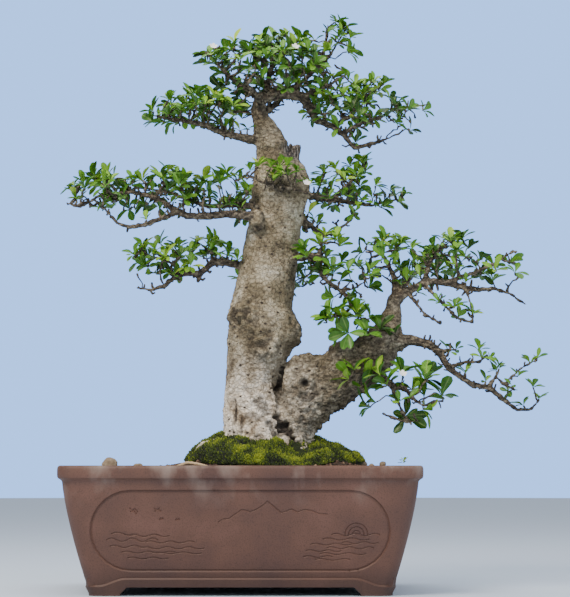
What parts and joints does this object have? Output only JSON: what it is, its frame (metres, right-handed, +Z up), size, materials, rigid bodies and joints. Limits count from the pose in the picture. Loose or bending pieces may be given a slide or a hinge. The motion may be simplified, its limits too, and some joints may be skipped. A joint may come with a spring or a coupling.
{
  "type": "potted bonsai tree",
  "caption": "Bonsai tree with a thick leaning trunk, a low side trunk and flat pads of small glossy leaves, in a rectangular unglazed clay pot with moss over the soil.",
  "frame": {"origin": "on the ground, under the middle of the plan of the whole plant and pot", "axes": "+Z up, -Y towards the front of the pot, +X to the right along the pot's long side, where the low trunk leans"},
  "size_m": [0.686, 0.35, 0.844],
  "materials": {
    "clay": "unglazed, satin",
    "soil": "granular, matte",
    "bark": "dry bark, matte",
    "leaf": "waxy, semi-gloss",
    "moss": "soft, matte",
    "petal": "soft, matte",
    "pebble": "rough, matte",
    "dry_root": "dry, matte",
    "mesh_plastic": "moulded, matte"
  },
  "bodies": {
    "root": {"pot": "clay", "drain_screen_left": "mesh_plastic", "drain_screen_right": "mesh_plastic", "soil": "soil", "trunk_and_branches": "bark", "dry_root": "dry_root", "flower_apex": "petal", "flower_apex_left": "petal", "flower_front": "petal", "flower_low": "petal", "foliage_apex_left": "leaf", "foliage_apex_right": "leaf", "foliage_apex_top": "leaf", "foliage_back_lower": "leaf", "foliage_back_upper": "leaf", "foliage_cascade_tip": "leaf", "foliage_cascade_upper": "leaf", "foliage_crown_back": "leaf", "foliage_crown_hanging": "leaf", "foliage_crown_left": "leaf", "foliage_crown_right": "leaf", "foliage_elbow": "leaf", "foliage_front": "leaf", "foliage_left_lower": "leaf", "foliage_left_upper": "leaf", "foliage_low": "leaf", "foliage_right_inner": "leaf", "foliage_right_upper": "leaf", "moss_back": "moss", "moss_front": "moss", "moss_left": "moss", "moss_right": "moss", "pebble_back": "pebble", "pebble_left": "pebble", "pebble_left_small": "pebble", "pebble_right_back": "pebble", "pebble_right_front": "pebble", "pebble_right_middle": "pebble", "weed_sprout": "leaf"}
  },
  "joints": []
}
